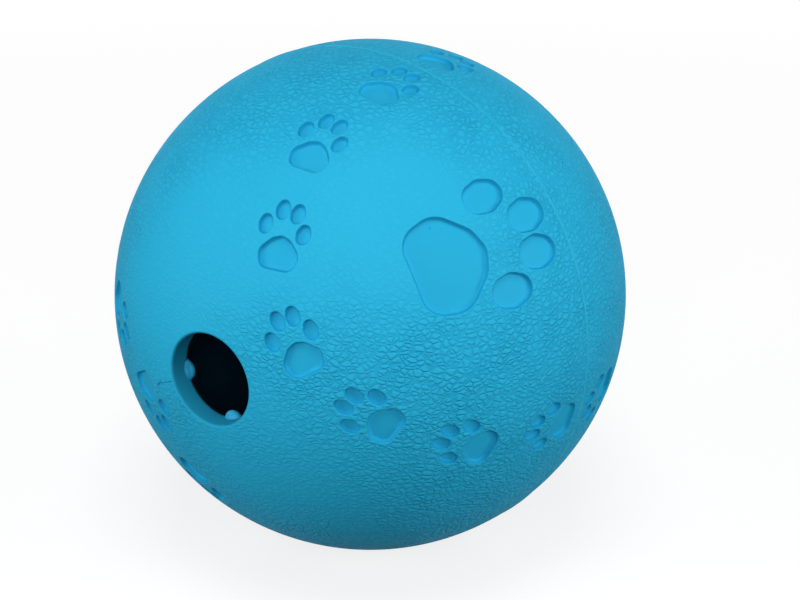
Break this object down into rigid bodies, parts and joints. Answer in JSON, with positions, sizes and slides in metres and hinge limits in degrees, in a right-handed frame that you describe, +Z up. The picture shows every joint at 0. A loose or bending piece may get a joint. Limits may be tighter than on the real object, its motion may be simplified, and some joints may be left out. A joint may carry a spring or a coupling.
{
  "type": "treat dispensing ball",
  "caption": "Hollow rubber ball of two bonded halves with sunk paw prints, a labyrinth inside and a round mouth with bending teeth that let treats out one by one.",
  "frame": {"origin": "centre of the ball, on the plane where its two halves meet", "axes": "+Z up, the mouth's axis level and pointing to -Y, +X to the right when the mouth is seen from behind the ball looking along +Y"},
  "size_m": [0.0902, 0.0892, 0.0902],
  "materials": {
    "moulded_rubber": "matt with a fine pebbled grain",
    "cured_bond": "smooth satin",
    "inner_rubber": "smooth matt",
    "tooth_rubber": "smooth satin"
  },
  "bodies": {
    "ball": {"front_half_shell": "moulded_rubber", "rear_half_shell": "moulded_rubber", "seam_bond": "cured_bond", "partition_disc": "inner_rubber", "front_maze_ring": "inner_rubber", "rear_maze_ring": "inner_rubber", "front_stop_wall_1": "inner_rubber", "front_stop_wall_2": "inner_rubber", "rear_stop_wall_1": "inner_rubber", "rear_stop_wall_2": "inner_rubber"},
    "tooth_1": {"retaining_tooth_1": "tooth_rubber"},
    "tooth_2": {"retaining_tooth_2": "tooth_rubber"},
    "tooth_3": {"retaining_tooth_3": "tooth_rubber"},
    "tooth_4": {"retaining_tooth_4": "tooth_rubber"}
  },
  "joints": [
    {"name": "tooth_1_bend", "type": "hinge", "parent": "ball", "child": "tooth_1", "pos_m": [0.00817, -0.0404, 0.00174], "axis": [-0.2079, 0, 0.9781], "range_deg": [-30, 30], "stiffness_Nm_per_rad": 0.003},
    {"name": "tooth_2_bend", "type": "hinge", "parent": "ball", "child": "tooth_2", "pos_m": [-0.00174, -0.0404, 0.00817], "axis": [-0.9781, 0, -0.2079], "range_deg": [-30, 30], "stiffness_Nm_per_rad": 0.003},
    {"name": "tooth_3_bend", "type": "hinge", "parent": "ball", "child": "tooth_3", "pos_m": [-0.00817, -0.0404, -0.00174], "axis": [0.2079, 0, -0.9781], "range_deg": [-30, 30], "stiffness_Nm_per_rad": 0.003},
    {"name": "tooth_4_bend", "type": "hinge", "parent": "ball", "child": "tooth_4", "pos_m": [0.00174, -0.0404, -0.00817], "axis": [0.9781, 0, 0.2079], "range_deg": [-30, 30], "stiffness_Nm_per_rad": 0.003}
  ]
}
